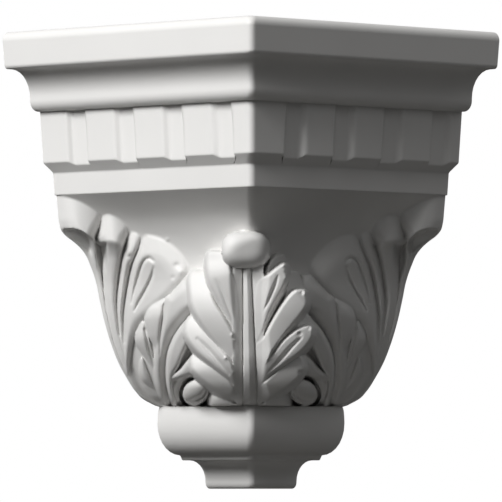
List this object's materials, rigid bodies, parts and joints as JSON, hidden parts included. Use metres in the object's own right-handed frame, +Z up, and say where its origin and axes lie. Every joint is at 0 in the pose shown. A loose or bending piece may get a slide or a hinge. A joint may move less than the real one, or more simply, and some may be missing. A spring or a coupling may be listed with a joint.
{
  "type": "outside corner moulding",
  "caption": "Cast outside corner block for a classical cornice: fascia, cove, dentils, a carved acanthus band on the mitre, a torus and a small foot; it turns the moulding round a wall corner.",
  "frame": {"origin": "middle of the square bed that goes up against the ceiling, seen as if its notch for the walls were filled", "axes": "+Z up; the mitre points to -X and -Y, leg A runs along +X and leg B along +Y"},
  "size_m": [0.137, 0.137, 0.178],
  "materials": {
    "primed_white": "smooth factory primer on cast polyurethane"
  },
  "bodies": {
    "root": {"outside_corner_moulding": "primed_white"}
  },
  "joints": []
}
